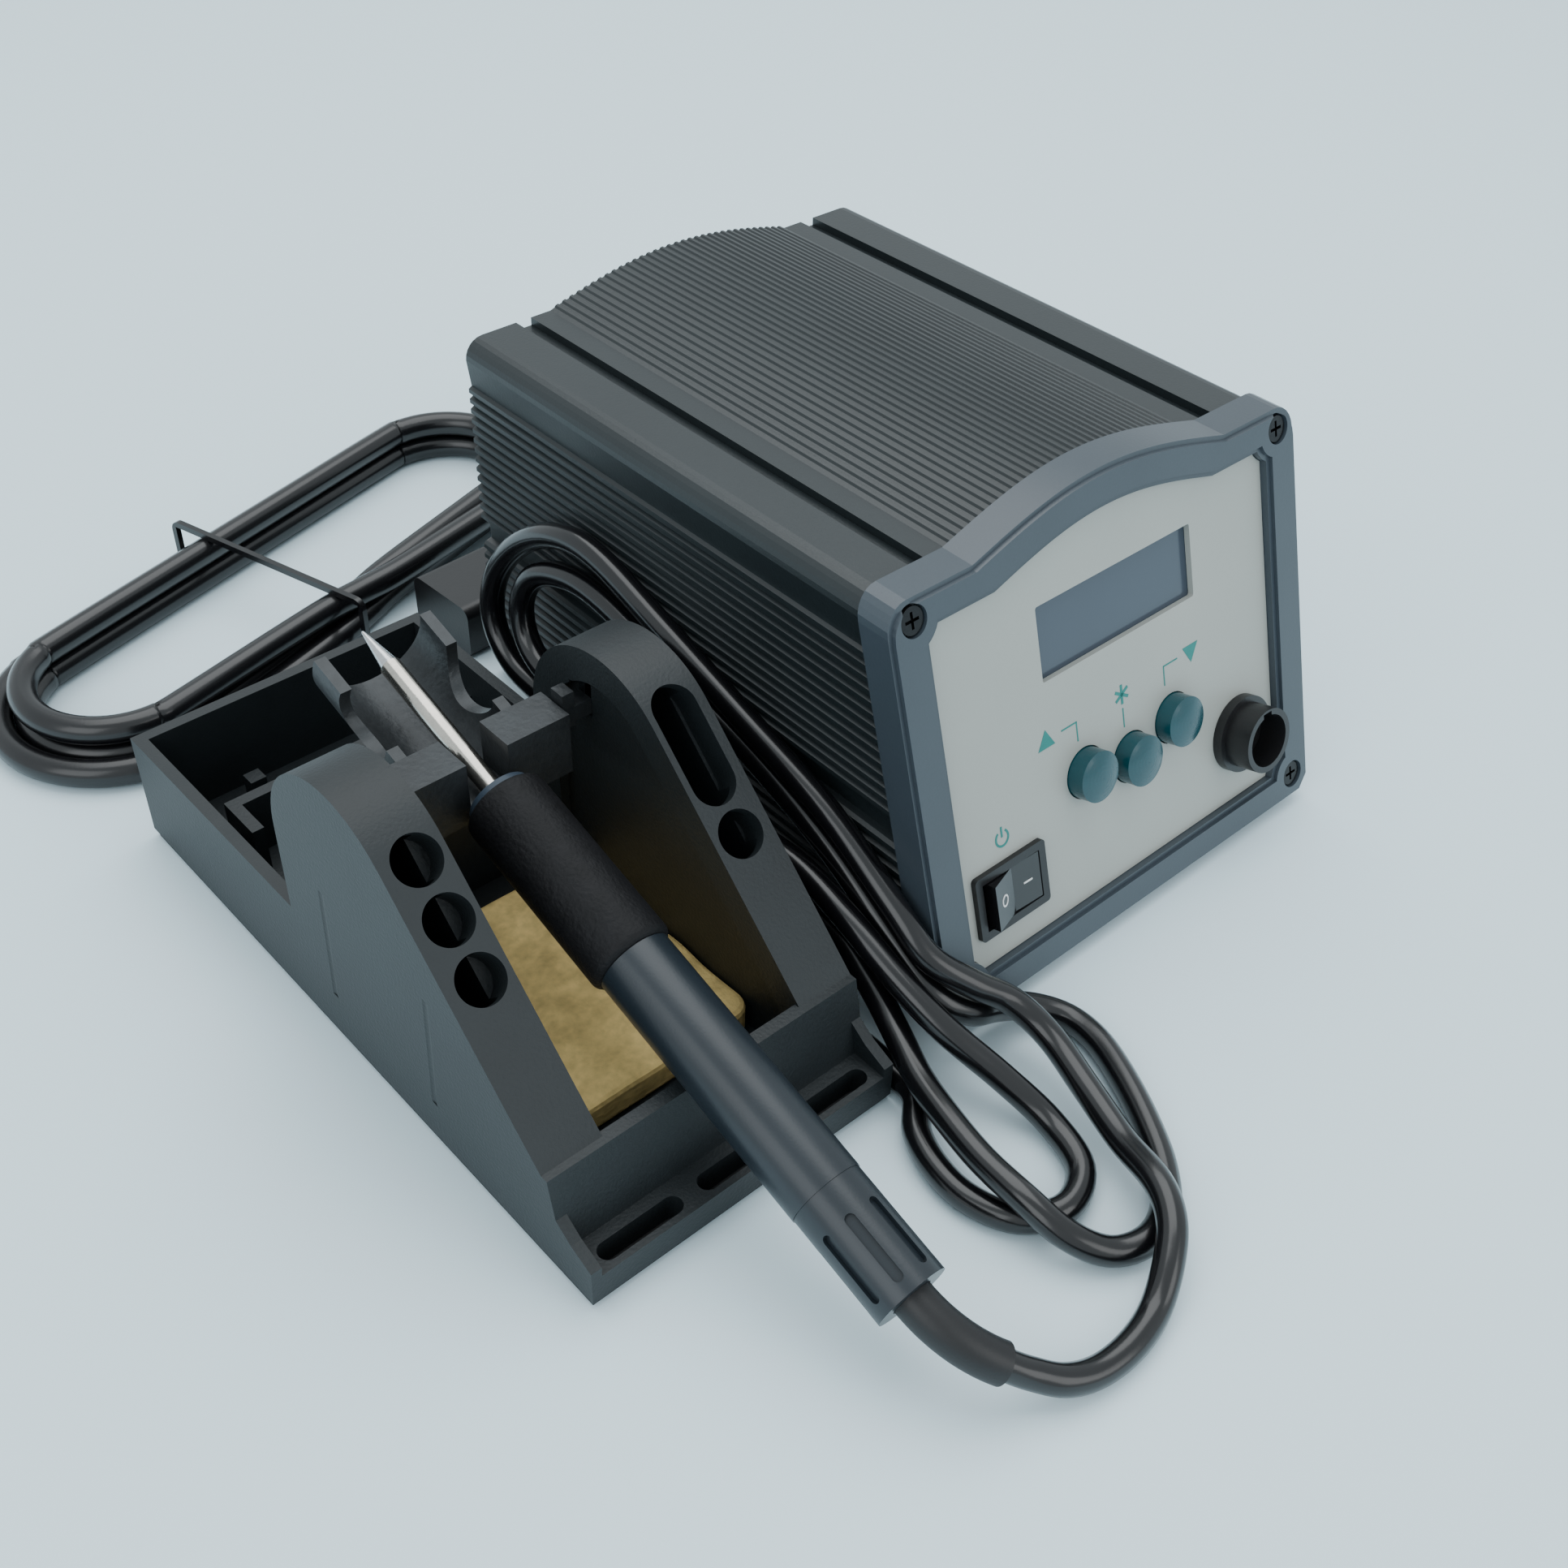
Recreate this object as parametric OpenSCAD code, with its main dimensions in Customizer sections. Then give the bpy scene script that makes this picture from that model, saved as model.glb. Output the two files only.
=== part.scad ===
// Soldering iron station: control unit, iron with its cord, stand with sponge, and mains lead.
// Origin on the table under the middle of the unit, stand and iron together.
// The unit's sloping front faces -Y and +Z is up.

/* [Control unit] */
// Width of the case across its ribbed sides
case_w = 126; // [110:1:152]
// Length of the case along its base
case_d = 172; // [150:1:210]
// Height of the case's shoulders above the table
shoulder_z = 97.5; // [92:0.5:118]
// Rise of the arched top above the shoulders
arch_rise = 6.5; // [4:0.5:8]
// Thickness of the case wall
case_wall = 2.5; // [2:0.1:3]
// Height of the unit's rubber feet
foot_h = 3; // [2:0.5:4]
// Lean of the front face from upright, in degrees
lean = 16.7; // [10:0.1:20]
// Depth of the front bezel, square to its face
bezel_depth = 9; // [7:0.5:11]
// How far the bezel stands out beyond the case all round
bezel_lip = 1.5; // [1:0.1:2]
// Depth of the panel below the bezel's face
panel_drop = 2.6; // [2:0.1:3]
// Thickness of the front and rear panels
panel_t = 1.5; // [1.2:0.1:2]

/* [Controls] */
// Diameter of a push button's cap
button_d = 12; // [10:0.1:13]
// Travel of a push button
button_travel = 1; // [0.6:0.1:1.5]
// Length of the display window
window_w = 50.6; // [44:0.2:54]
// Height of the display window
window_h = 17.5; // [14:0.1:20]
// Length of the power switch's frame
switch_w = 21.8; // [20:0.1:24]
// Height of the power switch's frame
switch_h = 15.8; // [14:0.1:18]
// Tilt of the rocker to each side of its middle, in degrees
rocker_tilt = 9; // [6:0.5:10]
// Outer diameter of the iron socket's barrel
socket_d = 16; // [14:0.5:18]
// How far the socket's barrel stands out of the panel
socket_out = 9; // [6:0.5:11]

/* [Stand] */
// Width of the stand
stand_w = 78; // [70:1:94]
// Length of the stand
stand_d = 174; // [160:1:210]
// Free width between the stand's two cheeks
bay_w = 49.7; // [42:0.1:52]
// Radius of the arch on top of each cheek
arch_r = 25; // [21:0.5:28]
// Height of the arch's centre above the table
arch_z = 53; // [50:0.5:60]
// Thickness of the stand's walls
stand_wall = 3; // [2.4:0.1:3.5]
// Height of the storage box's rim
box_z = 30; // [26:0.5:36]
// Thickness of the pad under the stand
pad_t = 2; // [1.5:0.1:3]
// Gap between the stand and the control unit
stand_gap = 22; // [18:0.5:26]
// Length of the sponge
sponge_l = 62; // [50:1:64]
// Thickness of the sponge
sponge_t = 8; // [5:0.5:10]

/* [Iron] */
// Diameter of the tip's barrel
barrel_d = 4.8; // [4:0.1:5.6]
// Diameter of the foam grip
grip_d = 18.4; // [17:0.1:22]
// Diameter of the handle
handle_d = 16; // [14:0.1:16.6]
// Length of the fluted end cap
cap_l = 24; // [18:0.5:29]
// Length of the handle between the cap and the grip
handle_l = 58.4; // [48:0.1:60]
// Length of the foam grip
grip_l = 44.6; // [36:0.1:46]
// Length of the bare barrel in front of the grip
barrel_l = 39.4; // [32:0.1:48]
// Length of the tip's cone
cone_l = 11; // [8:0.5:14]
// Rake of the iron in its holder, in degrees
iron_rake = 16.5; // [15:0.1:18]
// Diameter of the iron's cord
cord_d = 6.3; // [5:0.1:6.6]
// Outer diameter of the rubber sleeve round the cord at the cap
sleeve_d = 8.4; // [7.6:0.1:9]

/* [Mains lead] */
// Diameter of the mains lead
lead_d = 7.4; // [6.5:0.1:8]
// Length of the mains lead's hank over its round ends
hank_l = 196; // [170:1:210]
// Width of the hank
hank_w = 68; // [66:1:74]

/* [Fits] */
// Gap round pieces that move
run_gap = 0.25; // [0.15:0.05:0.4]
// Gap round pieces that are assembled and stay put
seat_gap = 0.15; // [0.1:0.05:0.3]

/* [Hidden] */
$fn = 64;

// The unit's outline
half_w = case_w / 2;
rear_y = case_d / 2;
front_y = -case_d / 2 - 1;
top_z = shoulder_z + arch_rise;
skirt_z = foot_h + 1;
slot_in = half_w - 19.2;
slot_out = half_w - 14.9;
arch_half = half_w - 26;
rib_pitch = 2.7;
rib_out = 0.9;
groove_lo = 42;
groove_hi = 48;
up_scale = 1 / cos(lean);
face_top = (shoulder_z - foot_h) * up_scale;
screw_x = half_w - 5;
screw_lo = 6.2 * up_scale;
screw_hi = face_top - 2.7;
panel_x = half_w - 8.7;
panel_lo = screw_lo + 2;
panel_hi = screw_hi - 3.2;
panel_arch = 6;
panel_z = -panel_drop;
boss_r = 7.5;

// The controls' places on the face, from its middle and its lower edge
window_x = 2.8;
window_s = screw_lo + 68.6;
window_drop = 2.6;
button_x = [-12.3, 2.8, 17.8];
button_s = [screw_lo + 33.4, screw_lo + 30.2, screw_lo + 33.4];
switch_x = -half_w + 23.2;
switch_s = screw_lo + 17.3;
socket_x = half_w - 22;
socket_s = screw_lo + 19;
board_z = panel_z - panel_t - 8;
button_flange_t = 1.2;
button_out = 1.6;
pivot_z = -1;

// The stand, measured from its own front edge
stand_x = -half_w - stand_gap - stand_w / 2;
stand_y = -89;
ledge_z = 9;
wall_foot_y = 7.5;
wall_top_y = 12.3;
wall_top_z = 27;
arch_y = 77;
slope = 44;
cheek_w = (stand_w - bay_w) / 2;
recess = 2.4;
sponge_w = bay_w + 0.3;
sponge_x = (bay_w + 2 * recess - sponge_w) / 2 - run_gap;
box_y = arch_y + arch_r;
floor_z = 5;
tray_back = box_y + 2;
bar_y = 80.8;
bar_d = 10;
bar_top = 64.3;
bar_low = 49;
bar_channel = 10;
bar_w = bay_w - 10.7;
tab_t = 4;
shroud_r = 14.5;
shroud_wall = 2.6;
shroud_l = 33;

// The iron, measured from the end of its cap
iron_x = stand_x - 1;
rest_z = wall_top_z + handle_d / 2 / cos(iron_rake) + run_gap + 0.3;
rest_s = 60.6;
handle_s = cap_l;
grip_s = handle_s + handle_l;
collar_s = grip_s + grip_l;
collar_t = 1.5;
barrel_s = collar_s + collar_t;
cone_s = barrel_s + barrel_l;
sleeve_bend = 45;
sleeve_r = 26;
sleeve_roll = 25;

// The iron's cord: its route from the sleeve to the plug, in three lanes between unit and stand
by_case = -67.3;
midway = -74;
by_stand = -81.3;
cord_route = [sleeve_end(0), sleeve_end(6), [-109, -158.8, 5], [-102, -161.2, 3.5],
    [-93, -161.5, 3.3], [-84, -159.5, 3.8], [-76, -155.5, 7.5], [-70, -150.5, 10],
    [-65.3, -143, 10], [-61, -131, 7.5], [-56.5, -117, 8], [-53.8, -104.5, 10.5],
    [-56, -95, 15], [-62.5, -89, 20], [-68.5, -81, 26], [-68.7, -70, 33], [by_case, -48, 43],
    [by_case, -21, 51.5], [by_case, 8, 60.5], [by_case, 31, 67], [-68, 46, 65.5],
    [-69, 60, 56.5], [-71, 68.5, 44], [-73, 68.5, 32], [-74, 60, 23.5], [midway, 44, 20.8],
    [midway, 10, 20.5], [midway, -28, 20.5], [midway, -58, 20], [-75.5, -71, 16],
    [-78.5, -83, 11.8], [-82.5, -94, 10], [-85.5, -105, 10], [-87.8, -117, 10],
    [-88.3, -129, 9.9], [-86.5, -138.5, 7], [-81, -145.5, 3.7], [-73, -148.5, 3.3],
    [-64.5, -146, 3.3], [-57, -139, 3.3], [-50.5, -129, 3.3], [-45, -118, 3.3],
    [-41.5, -108, 3.3], [-41.5, -99.5, 3.4], [-46.5, -93, 5], [-54.5, -90.3, 8],
    [-63, -89.3, 12], [-68.8, -83.8, 17], [-68.8, -73, 22.5], [by_case, -50, 33.5],
    [by_case, -25, 43], [by_case, 5, 50.5], [by_case, 31, 56], [-68, 45, 55],
    [-69.5, 54.5, 50], [-71.5, 57.5, 41.5], [-73, 54, 33.5], [midway, 45, 29.2],
    [midway, 30, 27.8], [midway, 5, 27.5], [midway, -24, 28.5], [midway, -46, 30.5],
    [-75, -63, 28], [-75.3, -79, 22.5], [-73.5, -92, 16.5], [-69, -105, 9.5],
    [-66.5, -117, 4.2], [-70, -128.5, 3.3], [-79.3, -133, 3.3], [-88.6, -128.5, 3.3],
    [-92.6, -119, 3.3], [-92.2, -109.5, 3.3], [-88.7, -100.5, 3.3], [-82.2, -93.5, 3.3],
    [-81.2, -84, 3.3], [by_stand, -50, 3.3], [by_stand, -14, 3.5], [-79, 0, 6],
    [-76.6, 12, 8.6], [-76.6, 18, 8.6]];
plug_d = 14.5;
plug_l = 28;

// The middle of the whole station, measured from the middle of the control unit
fuse_out = 6.6;
iron_end = -154.2;
whole_x = (stand_x - stand_w / 2 + half_w + bezel_lip) / 2;
whole_y = (rear_y + fuse_out + iron_end) / 2;

// The mains lead, behind the unit and the stand
hank_at = [-85, rear_y + 66, 0];
hank_turn = 16;
hank_h = 2 * lead_d;
lead_z = lead_d / 2 + 0.1;
socket_body = [16, 24, 24];
socket_z = socket_body[0] / 2 + 0.1;
socket_relief = 22;
mains_plug_d = 24;
mains_plug_z = mains_plug_d / 2 + 0.1;
mains_plug_t = 16;
mains_relief = 24;
relief_d = 12;
lead_a = [hank_edge(-31, -1), behind(12, 66, lead_z), behind(10.5, 50, lead_z),
    behind(3.5, 36, lead_z + 0.6), behind(-7.5, 26.5, lead_z + 2.8),
    behind(-15, 23.4, socket_z - 0.3), behind(-20, 22.5, socket_z)];
lead_b = [for (d = [0, 15, 30, 44, 52])
    hank_edge(-90, -lead_d / 2, d) + [0, 0, d < 44 ? lead_d + 0.1 : mains_plug_z - lead_z]];

// ---------- helpers ----------

// Everything moved from the unit's middle to the station's middle
module placed()
    translate([-whole_x, -whole_y, 0])
        children();

// Children drawn on the leaning face: X across, Y up the slope, Z out of the face
module on_face(x = 0, s = 0, z = 0)
    translate([0, front_y, foot_h])
        rotate([90 - lean, 0, 0])
            translate([x, s, z])
                children();

// Everything behind the plane at depth d below the face
module behind_face(d)
    on_face(-case_w, -60, -case_d * 2 - d)
        cube([2 * case_w, case_d * 2, case_d * 2]);

// A slice of the space between depths a and b below the face
module face_slice(a, b)
    on_face(-case_w, -60, -b)
        cube([2 * case_w, case_d * 2, b - a]);

// Children extruded along Y from the rear end forward; the outline is X and Z
module along_y(from_y, l)
    translate([0, from_y, 0])
        rotate([90, 0, 0])
            linear_extrude(l)
                children();

module rounded_rect(w, h, r) {
    square([w - 2 * r, h], center = true);
    square([w, h - 2 * r], center = true);
    for (x = [-1, 1], y = [-1, 1])
        translate([x * (w / 2 - r), y * (h / 2 - r)])
            circle(r, $fn = 32);
}

module slot2d(l, w) {
    square([l - w, w], center = true);
    for (x = [-1, 1])
        translate([x * (l - w) / 2, 0])
            circle(w / 2, $fn = 32);
}

// Height of the arched top at x
function arch_at(x) = arch_rise * cos(90 * min(1, abs(x) / (arch_half + 3)));

// One side's ribs from z lo to hi, as points going up
function side_ribs(lo, hi, n) = let (p = (hi - lo) / n)
    [for (i = [0:n - 1], k = [0:3])
        [half_w - (k == 0 || k == 3 ? rib_out : 0),
         lo + p * (i + [0.12, 0.3, 0.7, 0.88][k])]];

// The top's ribs from x out to the middle, as points going inward
function top_ribs(n) = let (p = arch_half / n)
    [for (i = [0:n - 1], k = [0:3])
        let (x = arch_half - p * (i + [0.1, 0.28, 0.62, 0.8][k]))
        [x, shoulder_z + arch_at(x) - (k == 0 || k == 3 ? 0.4 : 0)]];

side_n = floor((shoulder_z - 10 - groove_hi) / rib_pitch);
low_n = floor((groove_lo - skirt_z - 4) / rib_pitch);
top_n = 17;

function half_outline() = concat(
    [[half_w - 4, foot_h], [half_w - rib_out, foot_h + 3]],
    side_ribs(foot_h + 3, groove_lo, low_n),
    [[half_w - 2.4, groove_lo], [half_w - 2.4, groove_hi]],
    side_ribs(groove_hi, groove_hi + side_n * rib_pitch, side_n),
    [for (a = [0:15:90]) [half_w - 5 + 5 * cos(a), shoulder_z - 5 + 5 * sin(a)]],
    [[slot_out, shoulder_z], [slot_out, shoulder_z - 2], [slot_in, shoulder_z - 2],
     [slot_in, shoulder_z], [arch_half + 1, shoulder_z]],
    top_ribs(top_n));

function mirrored(p) = concat(p, [for (i = [len(p) - 1:-1:0]) [-p[i][0], p[i][1]]]);

// The case's plain inner outline, grown or shrunk by g
module inner_outline(g = 0) {
    w = half_w - 2.4 - case_wall + g;
    lo = foot_h + case_wall - g;
    hi = shoulder_z - 2 - case_wall + g;
    polygon(mirrored([[w, lo], [w, hi]]));
}

// The bezel's outer outline with lip l
module lip_outline(l) {
    w = half_w + l;
    r = 6;
    n = 24;
    polygon(mirrored(concat(
        [[w - 3, foot_h + 1], [w, foot_h + 4]],
        [for (a = [0:15:90]) [w - r + r * cos(a), shoulder_z + l - r + r * sin(a)]],
        [for (i = [0:n]) let (x = (arch_half + 3) * (1 - i / n))
            [x, shoulder_z + l + arch_at(x)]])));
}

// The panel's outline on the face: corners cut round the screw bosses, top arched
module panel_outline(g = 0) {
    n = 20;
    difference() {
        polygon(mirrored(concat(
            [[panel_x + g, panel_lo - g], [panel_x + g, panel_hi + g]],
            [for (i = [0:n]) let (x = (arch_half - 2) * (1 - i / n))
                [x, panel_hi + g + panel_arch * cos(90 * min(1, x / (arch_half - 2)))]])));
        for (x = [-1, 1])
            for (s = [screw_lo, screw_hi])
                translate([x * screw_x, s])
                    circle(boss_r - g);
    }
}

module button_spots()
    for (i = [0:2])
        on_face(button_x[i], button_s[i])
            children();

module face_screws()
    for (x = [-1, 1])
        for (s = [screw_lo, screw_hi])
            on_face(x * screw_x, s)
                children();

// ---------- control unit ----------

module case_shell() color("#3a454b") difference() {
    intersection() {
        along_y(rear_y, case_d + 30) polygon(mirrored(half_outline()));
        behind_face(bezel_depth + seat_gap);
    }
    along_y(rear_y + 1, case_d + 40) inner_outline();
    for (x = [-1, 1], z = [foot_h + 9, shoulder_z - 10])
        translate([x * (half_w - 9), rear_y + 1, z])
            rotate([90, 0, 0]) cylinder(d = 2.6, h = 12);
}

module front_bezel() color("#4a545e") difference() {
    union() {
        intersection() {
            along_y(rear_y, case_d + 60) lip_outline(bezel_lip);
            face_slice(1, bezel_depth);
        }
        intersection() {
            along_y(rear_y, case_d + 60) lip_outline(bezel_lip - 1);
            face_slice(0, 1.001);
        }
    }
    on_face(0, 0, panel_z - panel_t)
        linear_extrude(bezel_depth) panel_outline(0);
    on_face(0, 0, -0.9)
        linear_extrude(2) panel_outline(1.2);
    on_face(0, 0, -bezel_depth - 1)
        linear_extrude(bezel_depth + 1 + panel_z - panel_t + 0.01) panel_outline(-3);
    face_screws() translate([0, 0, -bezel_depth - 1]) cylinder(d = 3.4, h = 20);
    face_screws() translate([0, 0, -2.6]) cylinder(d = 7, h = 4);
}

module front_panel() color("#a4a59f") difference() {
    on_face(0, 0, panel_z - panel_t)
        linear_extrude(panel_t) panel_outline(-seat_gap);
    on_face(window_x, window_s, panel_z - 5)
        linear_extrude(6) rounded_rect(window_w, window_h, 0.6);
    button_spots() translate([0, 0, panel_z - 5]) cylinder(d = button_d + 2 * run_gap, h = 6);
    on_face(switch_x, switch_s, panel_z - 5)
        linear_extrude(6) square([switch_w - 2, switch_h - 2], center = true);
    on_face(socket_x, socket_s, panel_z - 5) cylinder(d = socket_d + 2 * seat_gap, h = 6);
}

module display_window() color("#5d6c86")
    on_face(window_x, window_s, panel_z - panel_t - 1.2)
        linear_extrude(1.1) square([window_w + 3, window_h + 3], center = true);

module display_module() color("#23306a")
    on_face(window_x, window_s, board_z + 0.1) {
        linear_extrude(6) square([window_w + 2, window_h + 2], center = true);
    }

module control_board() color("#2f6b3d") difference() {
    on_face(0, 0, board_z - 1.6)
        linear_extrude(1.6)
            translate([-16, switch_s + switch_h / 2 + 1])
                square([52, window_s + 11 - switch_s - switch_h / 2]);
}

module key_switches() color("#1c1d20")
    button_spots() translate([0, 0, board_z]) {
        translate([-3, -3, 0]) cube([6, 6, 2.4]);
        cylinder(d = 3.2, h = 3);
    }

module button(i) color("#14758c")
    on_face(button_x[i], button_s[i]) {
        back = panel_z - panel_t - 0.1 - button_flange_t;
        translate([0, 0, back]) cylinder(d = button_d + 2, h = button_flange_t);
        translate([0, 0, back]) cylinder(d = button_d, h = button_out - back);
        translate([0, 0, button_out])
            rotate_extrude() polygon(concat([[0, 0]],
                [for (a = [0:6]) let (r = button_d / 2 * (1 - a / 6))
                    [r, 1.1 * (1 - pow(r / (button_d / 2), 2))]]));
        translate([0, 0, board_z + 3 + button_travel + 0.1])
            cylinder(d = 4, h = back - board_z - 3 - button_travel);
    }

module switch_housing() color("#15171a") difference() {
    on_face(switch_x, switch_s) {
        translate([0, 0, panel_z + 0.01])
            linear_extrude(1.4) rounded_rect(switch_w, switch_h, 1);
        translate([0, 0, panel_z - 16])
            linear_extrude(16.2)
                square([switch_w - 2 - 2 * seat_gap, switch_h - 2 - 2 * seat_gap], center = true);
        for (x = [-5, 5])
            translate([x - 0.4, -2.4, panel_z - 22]) cube([0.8, 4.8, 7]);
    }
    on_face(switch_x, switch_s, panel_z - 9)
        linear_extrude(12)
            square([switch_w - 4, switch_h - 4], center = true);
}

module power_rocker() color("#101214")
    on_face(switch_x, switch_s, panel_z + pivot_z)
        rotate([0, rocker_tilt, 0]) {
            l = (switch_w - 4) / 2 - 0.7;
            w = switch_h - 4 - 2 * run_gap;
            rotate([90, 0, 0])
                translate([0, 0, -w / 2])
                    linear_extrude(w)
                        polygon([[-l, 3.6], [0, 2], [l, 3.6], [l - 0.6, -1.6], [-l + 0.6, -1.6]]);
        }

module iron_socket() color("#121315") difference() {
    on_face(socket_x, socket_s) {
        translate([0, 0, panel_z]) cylinder(d = socket_d + 3, h = 2.4);
        translate([0, 0, panel_z - 12]) cylinder(d = socket_d, h = socket_out + 12);
        translate([0, 0, panel_z - panel_t - 3.2]) cylinder(d = socket_d + 3, h = 3);
    }
    on_face(socket_x, socket_s, panel_z - 14) cylinder(d = socket_d - 3, h = 40);
    on_face(socket_x, socket_s + socket_d / 2 - 1.8, panel_z + socket_out - 5)
        translate([-1.5, 0, 0]) cube([3, 1.2, 10]);
}

module socket_insert() color("#26282b") difference() {
    on_face(socket_x, socket_s, panel_z - 10.9)
        cylinder(d = socket_d - 3 - 2 * seat_gap, h = 13);
    socket_ring() cylinder(d = 1.6, h = 30, center = true);
}

module socket_ring()
    for (a = [0:5])
        on_face(socket_x + 3.6 * cos(60 * a + 30), socket_s + 3.6 * sin(60 * a + 30))
            children();

module socket_contacts() color("#c8a95a")
    socket_ring() translate([0, 0, panel_z - 14]) cylinder(d = 1.3, h = 15.5);

module rear_panel() color("#3a454b") difference() {
    along_y(rear_y - 1.5, panel_t) inner_outline(-seat_gap);
    translate([inlet_x, rear_y + 1, inlet_z])
        rotate([90, 0, 0]) linear_extrude(12) square([28.6, 24.6], center = true);
    translate([earth_x, rear_y + 1, inlet_z]) rotate([90, 0, 0]) cylinder(d = 9.4, h = 12);
    translate([fuse_x, rear_y + 1, inlet_z]) rotate([90, 0, 0]) cylinder(d = 12.4, h = 12);
    for (x = [-1, 1], z = [foot_h + 15, shoulder_z - 16])
        translate([x * (half_w - 13), rear_y + 1, z]) rotate([90, 0, 0]) cylinder(d = 3.4, h = 12);
}

inlet_x = -26;
inlet_z = 32;
earth_x = 32;
fuse_x = 6;

module inlet_shape(w, h) {
    polygon([[-w / 2, -h / 2], [w / 2, -h / 2], [w / 2, h / 2 - 5], [w / 2 - 5, h / 2],
        [-w / 2 + 5, h / 2], [-w / 2, h / 2 - 5]]);
}

module mains_inlet() color("#141517") difference() {
    translate([inlet_x, rear_y - 1.45, inlet_z])
        rotate([90, 0, 0]) {
            translate([0, 0, -2.5]) linear_extrude(2.5) rounded_rect(32, 28, 2);
            linear_extrude(20) square([28.3, 24.3], center = true);
        }
    translate([inlet_x, rear_y + 2, inlet_z])
        rotate([90, 0, 0]) linear_extrude(17) inlet_shape(24, 19);
}

module inlet_pins() color("#b9bcc0")
    for (x = [-7, 0, 7])
        translate([inlet_x + x - 1, rear_y - 24, inlet_z - 2 + (x == 0 ? 4 : -2)])
            cube([2, 20, 4]);

module fuse_cap() color("#141517")
    translate([fuse_x, rear_y - 1.45, inlet_z]) rotate([90, 0, 0]) {
        translate([0, 0, -8]) cylinder(d = 14, h = 8);
        cylinder(d = 12, h = 20);
    }

module earth_socket() color("#3f6f4a") difference() {
    translate([earth_x, rear_y - 1.45, inlet_z]) rotate([90, 0, 0]) {
        translate([0, 0, -3]) cylinder(d = 12, h = 3);
        cylinder(d = 9, h = 18);
    }
    translate([earth_x, rear_y + 3, inlet_z]) rotate([90, 0, 0]) cylinder(d = 4.1, h = 18);
}

module main_board() color("#2f6b3d")
    translate([-half_w + 14, -rear_y + 42, foot_h + case_wall + 6]) {
        cube([case_w - 28, case_d - 70, 1.6]);
        for (x = [5, case_w - 33], y = [5, case_d - 75])
            translate([x, y, -6]) cylinder(d = 6, h = 6);
        translate([12, 12, 1.6]) cylinder(d = 16, h = 24);
        translate([34, 10, 1.6]) cube([30, 4, 26]);
        for (i = [0:3])
            translate([16 + 16 * i, 34, 1.6]) cube([9, 6, 8]);
    }

module transformer_core() color("#6a6d70")
    difference() {
        translate([-27, 14, foot_h + case_wall + 7.6]) cube([54, 30, 46]);
        translate([-17, 10, foot_h + case_wall + 14]) cube([13, 40, 33]);
        translate([4, 10, foot_h + case_wall + 14]) cube([13, 40, 33]);
    }

module transformer_coil() color("#9a5a2c")
    difference() {
        translate([-16.5, 4, foot_h + case_wall + 15]) cube([33, 50, 31]);
        translate([-4.2, 13.8, foot_h + case_wall + 10]) cube([8.4, 30.4, 50]);
    }

module screw(d, l) {
    difference() {
        cylinder(d = 2 * d, h = 2);
        for (a = [0, 90])
            rotate([0, 0, a]) translate([-d * 0.62, -0.35, 1]) cube([d * 1.24, 0.7, 2]);
    }
    translate([0, 0, -l]) cylinder(d = d, h = l);
}

module front_screws() color("#1b1c1e")
    face_screws() translate([0, 0, -2.6]) screw(3, 4.5);

module rear_screws() color("#1b1c1e")
    for (x = [-1, 1], z = [foot_h + 15, shoulder_z - 16])
        translate([x * (half_w - 13), rear_y - 1.5, z]) rotate([-90, 0, 0]) screw(3, 6);

module case_feet() color("#1a1b1c")
    for (x = [-1, 1], y = [-1, 1])
        translate([x * (half_w - 14), y * (rear_y - 22), 0])
            cylinder(d = 14, h = foot_h);

// ---------- stand ----------

module in_stand()
    translate([stand_x, stand_y, 0])
        children();

// Side outline of a cheek, all its edges moved in by d
module cheek2d(d) {
    r = arch_r - d;
    t = [arch_y - r * sin(slope), arch_z + r * cos(slope)];
    f = wall_top_y + d;
    translate([arch_y, arch_z]) circle(r);
    polygon([[wall_foot_y + d, pad_t], [f, t[1] - (t[0] - f) * tan(slope)], t,
        [arch_y, arch_z], [arch_y + r, arch_z], [arch_y + r, pad_t]]);
}

// Children lying in the YZ plane, extruded along X from x
module along_x(x, l)
    translate([x, 0, 0])
        rotate([90, 0, 90])
            linear_extrude(l)
                children();

// A point and tilt on the cheek's sloping top, u along the slope from its foot
module on_slope(x, u)
    translate([x, arch_y - arch_r * sin(slope), arch_z + arch_r * cos(slope)])
        rotate([slope, 0, 0])
            translate([0, -u, 0])
                children();

// One cheek on the side sx: a hollow box with a shallow recess in its inner side
module cheek(sx) {
    lip = 8;
    web = 1.6;
    x0 = sx < 0 ? -stand_w / 2 : stand_w / 2 - cheek_w;
    hollow_x = sx < 0 ? x0 + stand_wall : x0 + recess + web;
    lip_x = sx < 0 ? x0 + cheek_w - recess : x0 - 1;
    difference() {
        along_x(x0, cheek_w) cheek2d(0);
        along_x(hollow_x, cheek_w - stand_wall - recess - web) intersection() {
            cheek2d(stand_wall);
            translate([0, floor_z]) square([300, 200]);
        }
        along_x(lip_x, recess + 1) intersection() {
            cheek2d(lip);
            translate([0, floor_z]) square([300, 200]);
        }
        for (y = [[49, 45], [86, 46]])
            translate([sx * stand_w / 2, y[0], y[1]])
                rotate([4, 0, 0]) translate([sx * 2.3, 0, -32]) cylinder(d = 5, h = 32);
    }
}

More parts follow.
